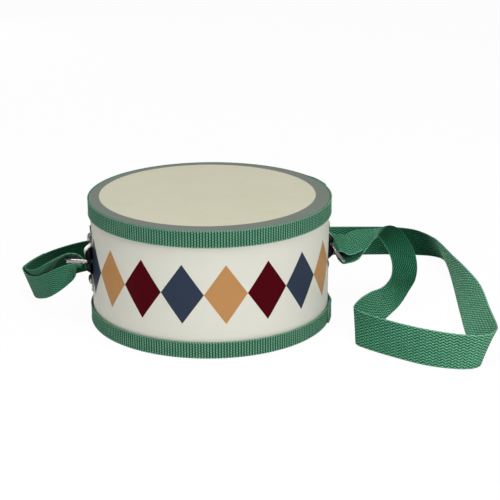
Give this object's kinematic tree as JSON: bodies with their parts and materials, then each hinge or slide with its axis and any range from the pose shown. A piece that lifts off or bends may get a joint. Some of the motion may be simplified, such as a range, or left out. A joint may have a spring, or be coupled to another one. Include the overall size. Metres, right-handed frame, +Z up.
{
  "type": "toy drum",
  "caption": "Round toy drum with a diamond-patterned shell, two film heads, webbing rim trims and a webbing shoulder strap on hinged wire rings.",
  "frame": {"origin": "centre of the bottom head's outer face, on the table", "axes": "+Z up along the drum axis; -Y towards the viewer of the picture; the strap lies mostly at +X"},
  "size_m": [0.3974, 0.2787, 0.1062],
  "materials": {
    "wood": "raw plywood",
    "print": "printed diamonds on an off-white film",
    "film": "cream drum film with a grey border",
    "webbing": "ribbed webbing",
    "steel": "polished plating"
  },
  "bodies": {
    "drum": {"shell": "wood", "seam_batten": "wood", "printed_sleeve": "print", "top_hoop": "wood", "bottom_hoop": "wood", "top_head": "film", "bottom_head": "film", "top_trim": "webbing", "bottom_trim": "webbing", "left_plate": "steel", "right_plate": "steel", "left_upper_rivet": "steel", "left_upper_washer": "steel", "left_lower_rivet": "steel", "left_lower_washer": "steel", "right_upper_rivet": "steel", "right_upper_washer": "steel", "right_lower_rivet": "steel", "right_lower_washer": "steel", "strap_left_end": "webbing", "strap_back_left": "webbing", "strap_back_right": "webbing", "strap_side": "webbing", "strap_front": "webbing", "strap_arch": "webbing", "strap_right_end": "webbing"},
    "left_ring": {"left_ring": "steel"},
    "right_ring": {"right_ring": "steel"}
  },
  "joints": [
    {"name": "left_ring_swing", "type": "hinge", "parent": "drum", "child": "left_ring", "pos_m": [-0.10232, -0.01621, 0.053], "axis": [-0.147, 0.9281, -0.342], "range_deg": [-84, 72], "deforming": ["strap_left_end"]},
    {"name": "right_ring_swing", "type": "hinge", "parent": "drum", "child": "right_ring", "pos_m": [0.10232, 0.01621, 0.06], "axis": [0.1524, -0.9624, -0.225], "range_deg": [-26, 130], "deforming": ["strap_right_end"]}
  ]
}
